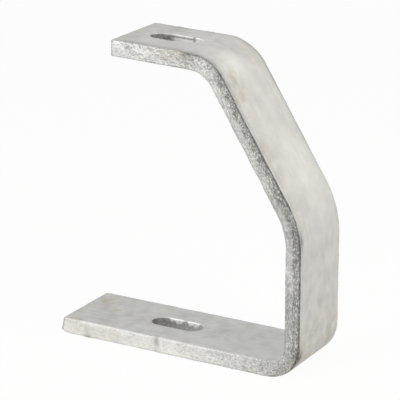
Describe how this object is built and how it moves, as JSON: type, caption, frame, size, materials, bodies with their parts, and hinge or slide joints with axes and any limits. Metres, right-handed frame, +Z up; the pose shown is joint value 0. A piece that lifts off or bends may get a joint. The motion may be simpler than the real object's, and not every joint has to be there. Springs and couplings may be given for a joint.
{
  "type": "u bracket",
  "caption": "One-piece U bracket bent from galvanised flat bar: a long slotted base flange, an upright leg, an inward slope and a shorter slotted top flange.",
  "frame": {"origin": "middle of the footprint, on the underside of the base flange", "axes": "+Z up from the base flange to the top flange, +Y from the open end of the U to the upright leg, X across the bar; the bracket is symmetric about X = 0"},
  "size_m": [0.04, 0.1304, 0.15],
  "materials": {
    "galvanised_steel": "hot-dip galvanised: matt pale grey zinc, faintly mottled on the broad faces and granular on the bar's edges"
  },
  "bodies": {
    "root": {"u_bracket": "galvanised_steel"}
  },
  "joints": []
}
